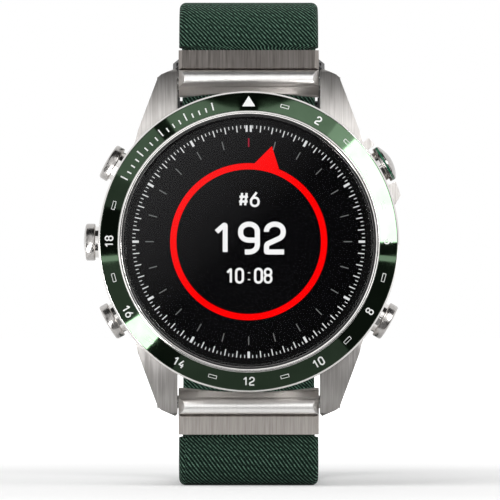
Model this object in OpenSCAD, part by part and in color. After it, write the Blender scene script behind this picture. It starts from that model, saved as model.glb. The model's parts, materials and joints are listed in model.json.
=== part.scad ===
// Round wrist watch: five push buttons, hinged end links with quick-release latches, and a woven band
// closed by a tail that folds back through a ring. Millimetres. Z is up, the dial faces -Y, and the
// closed band stands on its flat underside at z = 0. "Depth" runs backwards from the crystal's face.

/* [Bezel and crystal] */
// Outer diameter of the bezel
bezel_d = 46; // [44:0.5:56]
// Width of the polished rim outside the insert
rim_w = 0.28; // [0.2:0.02:0.5]
// Width of the coloured insert
insert_w = 2.75; // [2.2:0.05:3.5]
// Width of the polished lip inside the insert
lip_w = 0.55; // [0.4:0.05:0.8]
// Width of the crystal's gasket
gasket_w = 0.28; // [0.2:0.02:0.4]
// Thickness of the crystal
crystal_t = 2; // [1.4:0.1:2.2]
// Height of the bezel, from its seat on the case to its lip
bezel_h = 3.65; // [3.4:0.05:5]

/* [Case] */
// Height of the case middle
case_h = 8.5; // [8.3:0.1:12]
// Thickness of the case wall
case_wall = 4; // [3.4:0.1:4.6]
// Thickness of the back cover
cover_t = 1; // [0.8:0.1:1.6]
// How far the sensor window stands out of the back cover
sensor_rise = 1.8; // [1:0.1:2.6]
// Battery thickness
battery_t = 4; // [3:0.1:4.4]

/* [Buttons] */
// Diameter of a button cap
cap_d = 5.7; // [5.4:0.1:6.2]
// Outer diameter of the tube that guides a button
tube_d = 4.8; // [4.4:0.1:4.9]
// Diameter of a button's stem
stem_d = 1.6; // [1.2:0.1:1.9]
// How far a button travels
button_travel = 0.5; // [0.3:0.05:0.6]

/* [Lugs and links] */
// Gap between a pair of lugs
lug_gap = 22; // [18:0.5:26.5]
// Diameter of a lug pin
lug_pin_d = 2; // [1.6:0.1:2.4]
// Diameter of the pin that holds the band in a link
band_pin_d = 1.6; // [1.2:0.1:1.8]
// Distance between a link's two pins
link_pitch = 3.8; // [3.6:0.1:4.6]
// Play between a link and each lug
link_play = 0.2; // [0.1:0.05:0.4]

/* [Band] */
// Thickness of the woven band
band_t = 2.2; // [1.6:0.1:2.7]
// How much narrower the band is than the links
band_inset = 0.1; // [0:0.05:0.6]
// How far the band stands out past each link's pin, to its middle line
band_rise = 8; // [7.5:0.1:12]
// Depth of the closed band, from the crystal's face to its rear middle line
band_depth = 60; // [52:1:76]
// Distance between the bars of the ring
ring_len = 8; // [7.6:0.1:10]
// Diameter of the ring's bars
ring_bar_d = 1.8; // [1.4:0.1:2]
// Straight length of the tail below the rear bend
tail_len = 24; // [14:1:28]
// Thickness of each hook-and-loop layer
pile_t = 0.55; // [0.4:0.05:0.8]

/* [Hidden] */
$fn = 96;

// Clearances
seat_gap = 0.02;      // between pieces that are pressed or laid into each other
run_gap = 0.05;       // round a pin or stem that turns or slides
soft_gap = 0.3;       // between soft pieces on different bodies
open_gap = 0.35;      // round the lower band pin, where the closed linkage is opened

// Radii of the bezel, from the outside in
bezel_r = bezel_d / 2;
insert_ro = bezel_r - rim_w;
insert_ri = insert_ro - insert_w;
lip_ri = insert_ri - lip_w;
crystal_r = lip_ri - gasket_w;
ledge_ri = crystal_r - 0.7;
display_r = ledge_ri - 0.1;

// Depths behind the crystal's face
lip_depth = 0.25;
rim_depth = 1.5;
ledge_depth = crystal_t + run_gap;
insert_floor = 2.2;
insert_top = 0.45;
insert_edge = 1.45;
display_depth = crystal_t + 0.6;
seat_depth = lip_depth + bezel_h;
back_depth = seat_depth + case_h;
cover_depth = back_depth + cover_t;
window_depth = cover_depth + sensor_rise;
chassis_t = 1.1;
board_depth = seat_depth + 1.5;
board_t = 0.8;
board_back = board_depth + board_t;

// Case and what fits in it
case_r = bezel_r - 0.4;
cavity_r = case_r - case_wall;
rebate_r = cavity_r + 0.85;
rebate_t = 0.6;
cover_r = case_r - 1.2;
cover_screw_r = cover_r - 1.1;
cover_screw_shank = 0.5;
cover_screw_head = 0.95;
cover_screw_head_t = 0.55;
cover_screw_len = 3.5;
chassis_r = cavity_r - 0.25;
board_r = cavity_r - 1.4;
battery_w = 2 * (board_r - 5.7);
battery_h = 2 * (board_r - 6.7);
board_screw_at = [for (a = [60, 120, 250, 290]) (board_r - 1.4) * [cos(a), sin(a)]];
board_screw_shank = 0.6;
motor_r = 3.5;
motor_t = 2.1;
motor_z = -(board_r - 2.8);
motor_shaft_r = 0.4;
motor_wall = 0.25;
charge_z = -(cavity_r - 5.1);
charge_half = [4.2, 1.8];
charge_flange = 0.8;
charge_pitch = 1.9;
window_r = -charge_z - charge_half[1] - 4.3;
window_flange_r = window_r + 0.8;
sensor_board_t = 0.6;
sensor_board_depth = back_depth - 1.45;

// Buttons: name, angle on the dial, radius of the rim, height of the dome
button_depth = seat_depth + 3.5;
neck_r = bezel_r + 0.9;
cap_inner = bezel_r + 0.55;
cap_ceiling = neck_r + button_travel + run_gap;
light_spec = [150, bezel_r + 2, 0.2];
up_spec = [180, bezel_r + 2.05, 0.3];
down_spec = [210, bezel_r + 2, 0.2];
start_spec = [30, bezel_r + 1.67, 0.69];
back_spec = [330, bezel_r + 2, 0.2];
button_angles = [30, 150, 180, 210, 330];
stem_end = cavity_r - 0.7;
clip_at = cavity_r - 0.45;
clip_t = 0.2;
clip_r = 1.4;
clip_groove_r = stem_d / 2 - 0.2;
tube_end = cavity_r - 0.25;
tube_bore_r = stem_d / 2 + run_gap;
spring_bore_r = tube_d / 2 - 0.7;
spring_seat = neck_r - 2;
seal_at = spring_seat - 1.4;
seal_wire_r = 0.25;
seal_groove_r = stem_d / 2 + 2 * seal_wire_r + run_gap;
band_groove_at = bezel_r + 1;
band_groove_w = 0.32;
band_groove_t = 0.12;
guard_r = bezel_r + 1.35;
cap_room = 0.35;
pocket_half = asin((cap_d / 2 + cap_room + 0.05) / (bezel_r + 1.3));

// Lugs and links
lug_in = lug_gap / 2;
lug_tip = bezel_r + 3.75;
pin_z = bezel_r + 1.6;
pin_depth = back_depth - 1.9;
lug_bore_r = lug_pin_d / 2 + seat_gap;
lug_pin_half = lug_in + 1.9;
lug_outer = lug_in + 2.95;
link_w = lug_gap - 2 * link_play;
cheek_w = 1.1;
cheek_in = link_w / 2 - cheek_w;
link_hub_r = lug_pin_d / 2 + 1.2;
link_bar_r = 1.35;
link_near = bezel_r + 0.1;
link_near_r = 72;
plate_slope = 19;
link_end = pin_z + link_pitch + 1.2;
band_pin_z = pin_z + link_pitch;
band_pin_half = cheek_in + 0.6;
latch_front = pin_depth + lug_pin_d / 2 + 0.8;
latch_t = 1;
latch_half = 6;
latch_travel = 1.7;
latch_low = pin_z - 0.9;
latch_high = pin_z + 1.8;
latch_room = latch_high + latch_travel + 0.2;
latch_gap = 0.1;
latch_spring_x = 3.2;
latch_spring_r = 0.38;
latch_spring_low = pin_z + 0.6;

// Band, as (depth, height) from the middle of the crystal's face
band_w = link_w - band_inset;
tongue_half = cheek_in - 0.2;
sleeve_r = band_pin_d / 2 + 0.8;
half_h = band_pin_z + band_rise;
front_lean = 1.7;
front_corner_r = 3;
rear_corner_r = 20;
top_front_r = 7;
top_rear_r = 18;
upper_bend_r = 14;
ring_tilt = 50;
along_ring = [cos(ring_tilt), -sin(ring_tilt)];
off_ring = [sin(ring_tilt), cos(ring_tilt)];
ring_top = [band_depth - 13.5, half_h - 7.5];
ring_low = ring_top + ring_len * along_ring;
ring_sleeve_r = ring_bar_d / 2 + 1.1;
ring_play = 0.4;
rail_w = 1.1;
rail_over = 1;
wrap_ri = ring_bar_d / 2 + 0.45;
wrap_r = wrap_ri + band_t / 2;
wrap_ro = wrap_ri + band_t;
pile_gap = 0.05;
loop_at = band_t / 2 + pile_gap;
hook_at = loop_at + pile_t + soft_gap;
tail_at = hook_at + pile_t + pile_gap + band_t / 2;

// The whole watch in its own frame
head_z = half_h + band_t / 2;
front_flat = pin_depth - front_lean + front_corner_r * tan(45 + atan(front_lean / band_rise) / 2);
rear_flat = band_depth - rear_corner_r;
face_y = -(front_flat + rear_flat) / 2;

// ---- Frames and shared shapes ----

// Children lie at (x, depth, height) from the middle of the crystal's face
module head() translate([0, face_y, head_z]) children();

// Children lie as on a drawing of the dial: x right, y up, z towards the reader
module on_dial() head() rotate([90, 0, 0]) children();

// Children's z axis runs outwards along a button's axis
module on_radius(angle) on_dial() translate([0, 0, -button_depth]) rotate([0, 0, angle])
    rotate([0, 90, 0]) children();

// A turned piece from points of (radius, depth)
module turned(profile) on_dial() rotate_extrude() polygon([for (p = profile) [p[0], -p[1]]]);

// A turned piece on a button's axis from points of (radius, distance from the dial's axis)
module turned_on_radius(angle, profile) on_radius(angle) rotate_extrude() polygon(profile);

// A disc or a plate on the dial's axis between two depths
module plate(d0, d1) on_dial() translate([0, 0, -d1]) linear_extrude(d1 - d0) children();

// A ring on the dial's axis between two depths
module washer(ro, ri, d0, d1) plate(d0, d1) difference() {
    circle(ro);
    circle(ri);
}

// A bar across the watch from an outline of (depth, height)
module across(w) head() rotate([90, 0, 90]) translate([0, 0, -w / 2]) linear_extrude(w) children();

// A rod across the watch at a (depth, height)
module rod(at, r, w) across(w) translate(at) circle(r);

// A box between two corners of (x, depth, height)
module block(low, high) head() translate(low) cube(high - low);

// The same piece on the upper link, or mirrored on the lower one
module upper() children();
module lower() translate([0, 0, head_z]) mirror([0, 0, 1]) translate([0, 0, -head_z]) children();

function arc(c, r, a0, a1, n = 8) =
    [for (i = [0:n]) let (a = a0 + (a1 - a0) * i / n) c + r * [cos(a), sin(a)]];

function turn_of(a, b) = a[0] * b[1] - a[1] * b[0];

// The points that round corner b of the path a, b, c with radius r
function bend(a, b, c, r, n = 12) =
    let (u = (a - b) / norm(a - b), v = (c - b) / norm(c - b), half = acos(u * v) / 2,
         centre = b + (u + v) / norm(u + v) * r / sin(half), s = b + u * r / tan(half) - centre,
         a0 = atan2(s[1], s[0]), sweep = (180 - 2 * half) * (turn_of(-u, v) > 0 ? 1 : -1))
    arc(centre, r, a0, a0 + sweep, n);

// A path through corner points, each inner one rounded
function rounded(p, r) = concat([p[0]],
    [for (i = [1:len(p) - 2]) each bend(p[i - 1], p[i], p[i + 1], r[i - 1])], [p[len(p) - 1]]);

function direction(p, i) =
    let (a = p[max(i - 1, 0)], b = p[min(i + 1, len(p) - 1)]) (b - a) / norm(b - a);

// A path moved sideways: to the right of the way it runs where o is positive
function beside(p, o) =
    [for (i = [0:len(p) - 1]) let (d = direction(p, i)) p[i] + o * [d[1], -d[0]]];

function reversed(p) = [for (i = [len(p) - 1:-1:0]) p[i]];

// A strip along a path between two sideways distances
module strip(p, o0, o1) polygon(concat(beside(p, o0), reversed(beside(p, o1))));

// ---- Case ----

// A lug's front outline and side outline, for the upper right lug
module lug() intersection() {
    plate(0, cover_depth) polygon([[lug_in, 12], [lug_in, lug_tip - 0.3], [lug_in + 0.3, lug_tip],
        [lug_outer - 0.5, lug_tip - 0.95], [lug_outer, lug_tip - 1.4], [lug_in + 6, 17],
        [lug_in + 6.25, 15.9], [lug_in + 6.7, 14.6], [bezel_r * cos(38), bezel_r * sin(38) - 0.4],
        [lug_in + 4, 10]]);
    across(2 * bezel_d) polygon(concat([[seat_depth + 0.3, 6], [seat_depth + 0.35, 16.5],
        [seat_depth + 1.3, 21.5], [seat_depth + 3.2, lug_tip - 0.5], [seat_depth + 4.1, lug_tip]],
        arc([pin_depth, pin_z], lug_tip - pin_z, 90, -55),
        [[back_depth, 19], [back_depth, 6]]));
}

// The shoulders on both sides of the start button, which run into the lug above it
module button_guard() {
    ramp = [for (a = [13:1:17]) (case_r + (guard_r - case_r) * (a - 13) / 4) * [cos(a), sin(a)]];
    difference() {
        plate(seat_depth + 0.5, button_depth + cap_d / 2 + 0.35)
            polygon(concat(ramp, arc([0, 0], guard_r, 18, 41, 12), arc([0, 0], case_r - 1, 41, 13, 12)));
        plate(seat_depth, back_depth)
            polygon(concat(arc([0, 0], case_r + 0.3, 30 - pocket_half, 30 + pocket_half),
                arc([0, 0], guard_r + 2, 30 + pocket_half, 30 - pocket_half)));
    }
}

module case_body() color("silver") difference() {
    union() {
        turned([[case_r, seat_depth], [case_r, back_depth - 1.5], [cover_r, back_depth],
            [rebate_r, back_depth], [rebate_r, back_depth - rebate_t],
            [cavity_r, back_depth - rebate_t], [cavity_r, seat_depth]]);
        for (x = [0, 1], z = [0, 1]) mirror([x, 0, 0]) translate([0, 0, head_z]) mirror([0, 0, z])
            translate([0, 0, -head_z]) difference() {
                lug();
                plate(0, cover_depth) circle(case_r - 1);
            }
        button_guard();
    }
    for (a = button_angles) on_radius(a) translate([0, 0, cavity_r - 1])
        cylinder(r = tube_d / 2 + seat_gap, h = guard_r - cavity_r);
    // the lugs leave room for the caps
    for (a = button_angles) on_radius(a) translate([0, 0, cap_inner - button_travel - run_gap])
        cylinder(r = cap_d / 2 + cap_room, h = lug_outer);
    for (s = [-1, 1]) rod([pin_depth, s * pin_z], lug_bore_r, 2 * bezel_d);
    for (a = [45:90:315]) on_dial() rotate([0, 0, a]) translate([cover_screw_r, 0, -back_depth - 1])
        cylinder(r = cover_screw_shank + seat_gap, h = cover_screw_len + 1);
}

module bezel_ring() color("gainsboro") turned([[bezel_r, seat_depth], [bezel_r, rim_depth + 0.4],
    [insert_ro, rim_depth], [insert_ro, insert_floor], [insert_ri, insert_floor],
    [insert_ri, lip_depth + 0.08], [insert_ri - 0.08, lip_depth], [lip_ri + 0.08, lip_depth],
    [lip_ri, lip_depth + 0.08], [lip_ri, ledge_depth], [ledge_ri, ledge_depth], [ledge_ri, seat_depth]]);

module bezel_insert() {
    ro = insert_ro - seat_gap;
    ri = insert_ri + seat_gap;
    color("darkgreen") turned([[ro, insert_floor], [ro, insert_edge + 0.06], [ro - 0.06, insert_edge - 0.02],
        [ri + 0.08, insert_top], [ri, insert_top + 0.08], [ri, insert_floor]]);
}

module crystal() color("lightblue", 0.3) turned([[0, 0], [crystal_r - 0.45, 0], [crystal_r, 0.4],
    [crystal_r, crystal_t], [0, crystal_t]]);

module crystal_gasket() color("black")
    washer(lip_ri - seat_gap, crystal_r + seat_gap, 0.9, crystal_t);

// ---- Display and electronics ----

module display_spacer() color("black") washer(display_r, display_r - 0.55, ledge_depth, display_depth - 0.02);

module display_panel() color("darkslategray") plate(display_depth, seat_depth - 0.05) circle(display_r);

module display_chassis() color("dimgray") difference() {
    union() {
        plate(seat_depth, seat_depth + chassis_t) circle(chassis_r);
        for (p = board_screw_at) plate(seat_depth + chassis_t, board_depth) translate(p) circle(1.4);
    }
    for (p = board_screw_at) plate(seat_depth + 0.3, board_depth + 1) translate(p)
        circle(board_screw_shank + seat_gap);
}

module gps_antenna() color("orange")
    washer(chassis_r - 0.05, board_r + 0.2, seat_depth + chassis_t + 0.2, board_depth + 0.45);

module main_board() color("darkgreen") plate(board_depth, board_back) difference() {
    circle(board_r);
    for (p = board_screw_at) translate(p) circle(board_screw_shank + run_gap);
}

module shield_cans() color("silver") {
    low = battery_h / 2 + 0.7;
    side = battery_w / 2 + 0.6;
    plate(board_back, board_back + 1.4) translate([-6, low]) square([12, 4.2]);
    plate(board_back, board_back + 1.4) translate([side, -4]) square([3.5, 8]);
}

module board_screws() color("silver") for (p = board_screw_at) difference() {
    union() {
        plate(seat_depth + 0.35, board_back) translate(p) circle(board_screw_shank);
        plate(board_back, board_back + 0.6) translate(p) circle(1.1);
    }
    plate(board_back + 0.3, board_back + 1) translate(p) circle(0.5, $fn = 6);
}

module button_switches() color("dimgray") for (a = button_angles) {
    tip = stem_end - button_travel - run_gap;
    on_dial() rotate([0, 0, a]) translate([board_r - 2.2, -1.75, -board_back - 2.4]) cube([2.2, 3.5, 2.4]);
    on_radius(a) translate([0, 0, board_r]) cylinder(r = 0.6, h = tip - board_r);
}

module battery() color("goldenrod") plate(board_back + run_gap, board_back + run_gap + battery_t)
    translate([-battery_w / 2, -battery_h / 2]) square([battery_w, battery_h]);

module motor_can() color("silver") {
    difference() {
        plate(board_back, board_back + motor_t) translate([0, motor_z]) circle(motor_r);
        plate(board_back + motor_wall, board_back + motor_t - motor_wall) translate([0, motor_z])
            circle(motor_r - motor_wall);
    }
    plate(board_back, board_back + motor_t) translate([0, motor_z]) circle(motor_shaft_r);
}

module motor_rotor() color("peru")
    plate(board_back + motor_wall + 0.3, board_back + motor_t - motor_wall - 0.3) translate([0, motor_z])
        difference() {
            union() {
                circle(1.1);
                intersection() {
                    circle(motor_r - motor_wall - 0.25);
                    translate([-motor_r, -motor_r]) square([2 * motor_r, motor_r]);
                }
            }
            circle(motor_shaft_r + run_gap);
        }

module sensor_board() color("darkgreen")
    plate(sensor_board_depth, sensor_board_depth + sensor_board_t) circle(window_flange_r);

module on_sensor(r, step, first) for (a = [first:step:first + 359]) rotate([0, 0, a])
    translate([r, 0]) children();

module sensor_leds() color("lime")
    plate(sensor_board_depth + sensor_board_t, sensor_board_depth + sensor_board_t + 0.55)
        on_sensor(1.9, 120, 90) square([1.4, 1.6], center = true);

module sensor_photodiodes() color("black")
    plate(sensor_board_depth + sensor_board_t, sensor_board_depth + sensor_board_t + 0.45)
        on_sensor(window_r - 2.6, 90, 45) square([1.8, 2.2], center = true);

module sensor_window() {
    top = sensor_board_depth + sensor_board_t + 0.05;
    hollow_r = window_r - 0.9;
    color("black", 0.6) turned([[0, top + 0.75], [hollow_r, top + 0.75], [hollow_r, top],
        [window_flange_r, top], [window_flange_r, back_depth - run_gap], [window_r, back_depth - run_gap],
        [window_r, window_depth - 0.9], [window_r - 0.4, window_depth - 0.45],
        [window_r - 1.4, window_depth], [0, window_depth]]);
}

module charge_rect(grow) translate([-charge_half[0] - grow, charge_z - charge_half[1] - grow])
    square(2 * (charge_half + [grow, grow]));

module charge_block() color("black") difference() {
    union() {
        plate(back_depth - 1.5, back_depth - run_gap) charge_rect(charge_flange);
        plate(back_depth - run_gap, cover_depth - 0.1) charge_rect(0);
    }
    for (i = [-1.5:1:1.5]) plate(back_depth - 3, cover_depth + 1) translate([i * charge_pitch, charge_z])
        circle(0.5 + seat_gap);
}

module charge_pins() color("gold") for (i = [-1.5:1:1.5])
    plate(back_depth - 2.6, cover_depth - 0.2) translate([i * charge_pitch, charge_z]) circle(0.5);

module back_gasket() color("black") on_dial() translate([0, 0, -(back_depth - rebate_t / 2)])
    rotate_extrude() translate([cavity_r + 0.5, 0]) circle(0.28, $fn = 32);

module back_cover() color("gray") difference() {
    turned([[window_r + run_gap, back_depth], [cover_r, back_depth], [cover_r, cover_depth - 0.4],
        [cover_r - 0.4, cover_depth], [window_r + run_gap, cover_depth]]);
    plate(back_depth - 1, cover_depth + 1) charge_rect(run_gap);
    for (a = [45:90:315]) on_dial() rotate([0, 0, a]) translate([cover_screw_r, 0, -cover_depth - 1]) {
        cylinder(r = cover_screw_shank + seat_gap, h = cover_t + 2);
        cylinder(r = cover_screw_head + seat_gap, h = 1 + cover_screw_head_t);
    }
}

module back_screws() color("silver") for (a = [45:90:315])
    on_dial() rotate([0, 0, a]) translate([cover_screw_r, 0, -cover_depth]) difference() {
        union() {
            cylinder(r = cover_screw_head, h = cover_screw_head_t);
            cylinder(r = cover_screw_shank, h = cover_t + cover_screw_len - 0.3);
        }
        translate([0, 0, -1]) cylinder(r = 0.5, h = 1.3, $fn = 6);
    }

module lug_pins() color("silver") for (s = [-1, 1]) rod([pin_depth, s * pin_z], lug_pin_d / 2, 2 * lug_pin_half);

module lug_screws() color("gray") for (x = [-1, 1], s = [-1, 1]) difference() {
    head() translate([x * (lug_pin_half + 0.65), pin_depth, s * pin_z]) rotate([0, 90, 0])
        cylinder(r = lug_pin_d / 2, h = 1.2, center = true);
    head() translate([x * (lug_pin_half + 1.25), pin_depth, s * pin_z])
        cube([0.6, 0.35, 3], center = true);
}

// ---- Buttons ----

module button_tubes() color("silver") for (a = button_angles) turned_on_radius(a,
    [[tube_bore_r, tube_end], [tube_d / 2, tube_end], [tube_d / 2, neck_r - 0.1], [tube_d / 2 - 0.1, neck_r],
     [spring_bore_r, neck_r], [spring_bore_r, spring_seat], [tube_bore_r, spring_seat],
     [tube_bore_r, seal_at + 0.32], [seal_groove_r, seal_at + 0.32], [seal_groove_r, seal_at - 0.32],
     [tube_bore_r, seal_at - 0.32]]);

module button_seals() color("black") for (a = button_angles) on_radius(a) translate([0, 0, seal_at])
    rotate_extrude() translate([stem_d / 2 + seal_wire_r + run_gap / 2, 0]) circle(seal_wire_r, $fn = 24);

// A cap with its stem: spec is [angle, rim radius, dome height], groove adds a slot for a coloured band
module button(spec, groove = false) {
    r = cap_d / 2;
    rim = spec[1];
    slot = groove ? [[r, band_groove_at + band_groove_w], [r - band_groove_t, band_groove_at + band_groove_w],
        [r - band_groove_t, band_groove_at], [r, band_groove_at]] : [];
    dome = [for (i = [0:6]) let (q = i / 6 * (r - 0.3)) [q, rim + spec[2] * (1 - pow(q / (r - 0.3), 2))]];
    turned_on_radius(spec[0], concat([[0, stem_end]], dome, [[r - 0.1, rim - 0.08], [r, rim - 0.3]],
        slot, [[r, cap_inner + 0.12], [r - 0.12, cap_inner], [tube_d / 2 + run_gap, cap_inner],
        [tube_d / 2 + run_gap, cap_ceiling], [stem_d / 2, cap_ceiling], [stem_d / 2, clip_at + clip_t / 2],
        [clip_groove_r, clip_at + clip_t / 2], [clip_groove_r, clip_at - clip_t / 2],
        [stem_d / 2, clip_at - clip_t / 2], [stem_d / 2, stem_end]]));
}

// The ring that keeps a button in its tube
module clip(spec) color("black") on_radius(spec[0]) translate([0, 0, clip_at]) difference() {
    cylinder(r = clip_r, h = clip_t - seat_gap, center = true);
    cylinder(r = clip_groove_r + seat_gap / 2, h = 1, center = true);
}

// A closely wound compression spring as one ribbed tube, from z = 0
module coil(ro, wire, length, turns) rotate_extrude() {
    steps = 2 * turns;
    rib = wire * 0.35;
    polygon(concat([for (i = [0:steps]) [ro - (i % 2) * rib, i * length / steps]],
        [for (i = [steps:-1:0]) [ro - wire - (i % 2) * rib, i * length / steps]]));
}

module button_spring(spec) color("silver") on_radius(spec[0]) translate([0, 0, spring_seat + seat_gap])
    coil(spring_bore_r - 0.12, 0.3, cap_ceiling - spring_seat - 2 * seat_gap, 6);

module light_button() color("silver") button(light_spec);
module up_button() color("silver") button(up_spec);
module down_button() color("silver") button(down_spec);
module start_button() color("silver") button(start_spec, true);
module back_button() color("silver") button(back_spec);
module light_clip() clip(light_spec);
module up_clip() clip(up_spec);
module down_clip() clip(down_spec);
module start_clip() clip(start_spec);
module back_clip() clip(back_spec);
module light_spring() button_spring(light_spec);
module up_spring() button_spring(up_spec);
module down_spring() button_spring(down_spec);
module start_spring() button_spring(start_spec);
module back_spring() button_spring(back_spec);

module start_band() color("seagreen") on_radius(start_spec[0])
    translate([0, 0, band_groove_at + seat_gap]) difference() {
        cylinder(r = cap_d / 2 + 0.02, h = band_groove_w - 2 * seat_gap);
        translate([0, 0, -1]) cylinder(r = cap_d / 2 - band_groove_t + seat_gap, h = 3);
    }

// ---- End links ----

link_side = concat(arc([pin_depth, pin_z], link_hub_r, 215, 330),
    [[pin_depth + 3.1, pin_z], [pin_depth + 3.1, band_pin_z], [pin_depth + 2, link_end],
     [pin_depth - 2.2, link_end], [pin_depth - 3.15, pin_z + 2.25], [pin_depth - 2.75, pin_z + 2]],
    arc([pin_depth - 2.3, pin_z + 0.65], link_bar_r, 100, 270, 12));

module link() color("silver") difference() {
    across(link_w) polygon(link_side);
    // the side nearest the case follows a shallow arc
    plate(0, 2 * cover_depth) translate([0, link_near - link_near_r]) circle(link_near_r);
    // bevels down both sides of the front bar and the sloping plate
    for (x = [-1, 1]) head() translate([x * link_w / 2, pin_depth - 3.65, pin_z + 0.65])
        rotate([0, 0, 45]) cube([1.3, 1.3, 2.6], center = true);
    for (x = [-1, 1]) head() translate([x * link_w / 2, pin_depth - 3.15, pin_z + 2.25])
        rotate([-plate_slope, 0, 0]) rotate([0, 0, 45]) cube([0.8, 0.8, 8], center = true);
    rod([pin_depth, pin_z], lug_pin_d / 2 + run_gap, 2 * link_w);
    block([-link_w, pin_depth, pin_z - lug_pin_d / 2 - run_gap],
        [link_w, pin_depth + 5, pin_z + lug_pin_d / 2 + run_gap]);
    // the pocket for the band's sleeve, open outwards
    rod([pin_depth, band_pin_z], sleeve_r + soft_gap, 2 * cheek_in);
    block([-cheek_in, pin_depth - band_t / 2 - 0.5, band_pin_z],
        [cheek_in, pin_depth + band_t / 2 + 0.5, link_end + 1]);
    rod([pin_depth, band_pin_z], band_pin_d / 2 + seat_gap, 2 * (band_pin_half + 0.05));
    // the latch's window, its side grooves and the room for its nose
    block([-latch_half - latch_gap, latch_front - 0.05, latch_low - 3], [latch_half + latch_gap, pin_depth + 5, latch_room]);
    block([-latch_half - 1 - latch_gap, latch_front - 0.05, latch_low - 3],
        [latch_half + 1 + latch_gap, latch_front + 0.6, latch_room]);
    block([-latch_half + 0.9, pin_depth + lug_pin_d / 2 - latch_gap, latch_low - 3], [latch_half - 0.9, latch_front, pin_z + 2.6]);
}

module latch() color("gray") difference() {
    union() {
        block([-latch_half, latch_front, latch_low], [latch_half, latch_front + latch_t, latch_high]);
        block([-latch_half - 1, latch_front, latch_low], [latch_half + 1, latch_front + 0.5, latch_high]);
        block([-latch_half + 1, pin_depth + lug_pin_d / 2 + latch_gap, pin_z - 0.5], [latch_half - 1, latch_front, pin_z + 0.8]);
        for (i = [0:2]) block([-4, latch_front + latch_t, pin_z + 0.1 + i * 0.55],
            [4, latch_front + latch_t + 0.5, pin_z + 0.4 + i * 0.55]);
    }
    for (x = [-1, 1]) head() translate([x * latch_spring_x, latch_front + latch_t / 2, latch_spring_low])
        cylinder(r = latch_spring_r + 0.06, h = 5);
}

module latch_springs() color("silver") for (x = [-1, 1])
    head() translate([x * latch_spring_x, latch_front + latch_t / 2, latch_spring_low + seat_gap])
        coil(latch_spring_r, 0.14, latch_room - latch_spring_low - 2 * seat_gap, 7);

module band_pin() color("silver") rod([pin_depth, band_pin_z], band_pin_d / 2, 2 * band_pin_half);

module upper_link() upper() link();
module upper_latch() upper() latch();
module upper_latch_springs() upper() latch_springs();
module upper_band_pin() upper() band_pin();
module lower_link() lower() link();
module lower_latch() lower() latch();
module lower_latch_springs() lower() latch_springs();
module lower_band_pin() lower() band_pin();

// ---- Band ----

// The point on the line of the ring, o outside the long band's middle line
function ring_side(o) = ring_low + (o - wrap_r) * off_ring;

// The rear corner where that line meets the band's rear
function rear_corner(o) = ring_side(o)
    + (band_depth + o - ring_side(o)[0]) / along_ring[0] * along_ring;

// The rear of the band, o outside its middle line, from s along the ring's line down to height z
function rear_path(o, s, z) = rounded([[band_depth + o, z], rear_corner(o), ring_side(o) + s * along_ring],
    [upper_bend_r + o]);

long_path = rounded([[pin_depth, -band_pin_z], [pin_depth - front_lean, -half_h], [band_depth, -half_h],
    rear_corner(0), ring_side(0)], [front_corner_r, rear_corner_r, upper_bend_r]);

top_corner = ring_top + 7.5 / sin(38) * [-cos(38), sin(38)];
short_path = rounded([[pin_depth, band_pin_z], [pin_depth + 1.1, half_h], top_corner, ring_top],
    [top_front_r, top_rear_r]);

tail_tip = rear_corner(0)[1] - tail_len;
tail_path = rounded([[band_depth + tail_at, tail_tip], rear_corner(tail_at),
    ring_side(tail_at) + 5.5 * along_ring, ring_low + wrap_r * off_ring], [upper_bend_r + tail_at, 12]);

// The tongue that goes into a link is narrower than the band
module tongue_cut() for (x = [-1, 1]) head() translate([x * (tongue_half + band_w / 2), pin_depth, band_pin_z - sleeve_r])
    cube([band_w, 8, 2 * (link_end + soft_gap - band_pin_z + sleeve_r)], center = true);

module long_band() color("darkgreen") difference() {
    union() {
        across(band_w) strip(long_path, -band_t / 2, band_t / 2);
        rod([pin_depth, -band_pin_z], sleeve_r, 2 * tongue_half);
    }
    lower() tongue_cut();
    rod([pin_depth, -band_pin_z], band_pin_d / 2 + open_gap, 2 * band_w);
    rod(ring_low, wrap_ro + soft_gap, 2 * band_w);
}

module short_band() color("darkgreen") difference() {
    union() {
        across(band_w) strip(short_path, -band_t / 2, band_t / 2);
        rod([pin_depth, band_pin_z], sleeve_r, 2 * tongue_half);
        rod(ring_top, ring_sleeve_r, band_w);
    }
    tongue_cut();
    rod([pin_depth, band_pin_z], band_pin_d / 2 + run_gap, 2 * band_w);
    rod(ring_top, ring_bar_d / 2 + run_gap, 2 * band_w);
}

module ring() color("black") {
    rail_in = band_w / 2 + ring_play;
    half = rail_in + rail_w;
    for (p = [ring_top, ring_low]) rod(p, ring_bar_d / 2, 2 * (rail_in + rail_w / 2));
    head() translate([0, ring_top[0], ring_top[1]]) rotate([-ring_tilt, 0, 0])
        translate([0, 0, -ring_bar_d / 2]) linear_extrude(ring_bar_d) difference() {
            polygon([[-half + 1, -rail_over], [half - 1, -rail_over], [half, 1 - rail_over],
                [half, ring_len + rail_over - 1], [half - 1, ring_len + rail_over],
                [1 - half, ring_len + rail_over], [-half, ring_len + rail_over - 1], [-half, 1 - rail_over]]);
            translate([-rail_in, -2 * rail_over]) square([2 * rail_in, ring_len + 4 * rail_over]);
        }
}

module loop_patch() color("seagreen") across(band_w - 2)
    polygon(concat(rear_path(loop_at, 6.5, tail_tip - 8), reversed(rear_path(loop_at + pile_t, 6.5, tail_tip - 8))));

module hook_patch() color("black") across(band_w - 2)
    polygon(concat(rear_path(hook_at, 8, tail_tip + 1), reversed(rear_path(hook_at + pile_t, 8, tail_tip + 1))));

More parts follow.
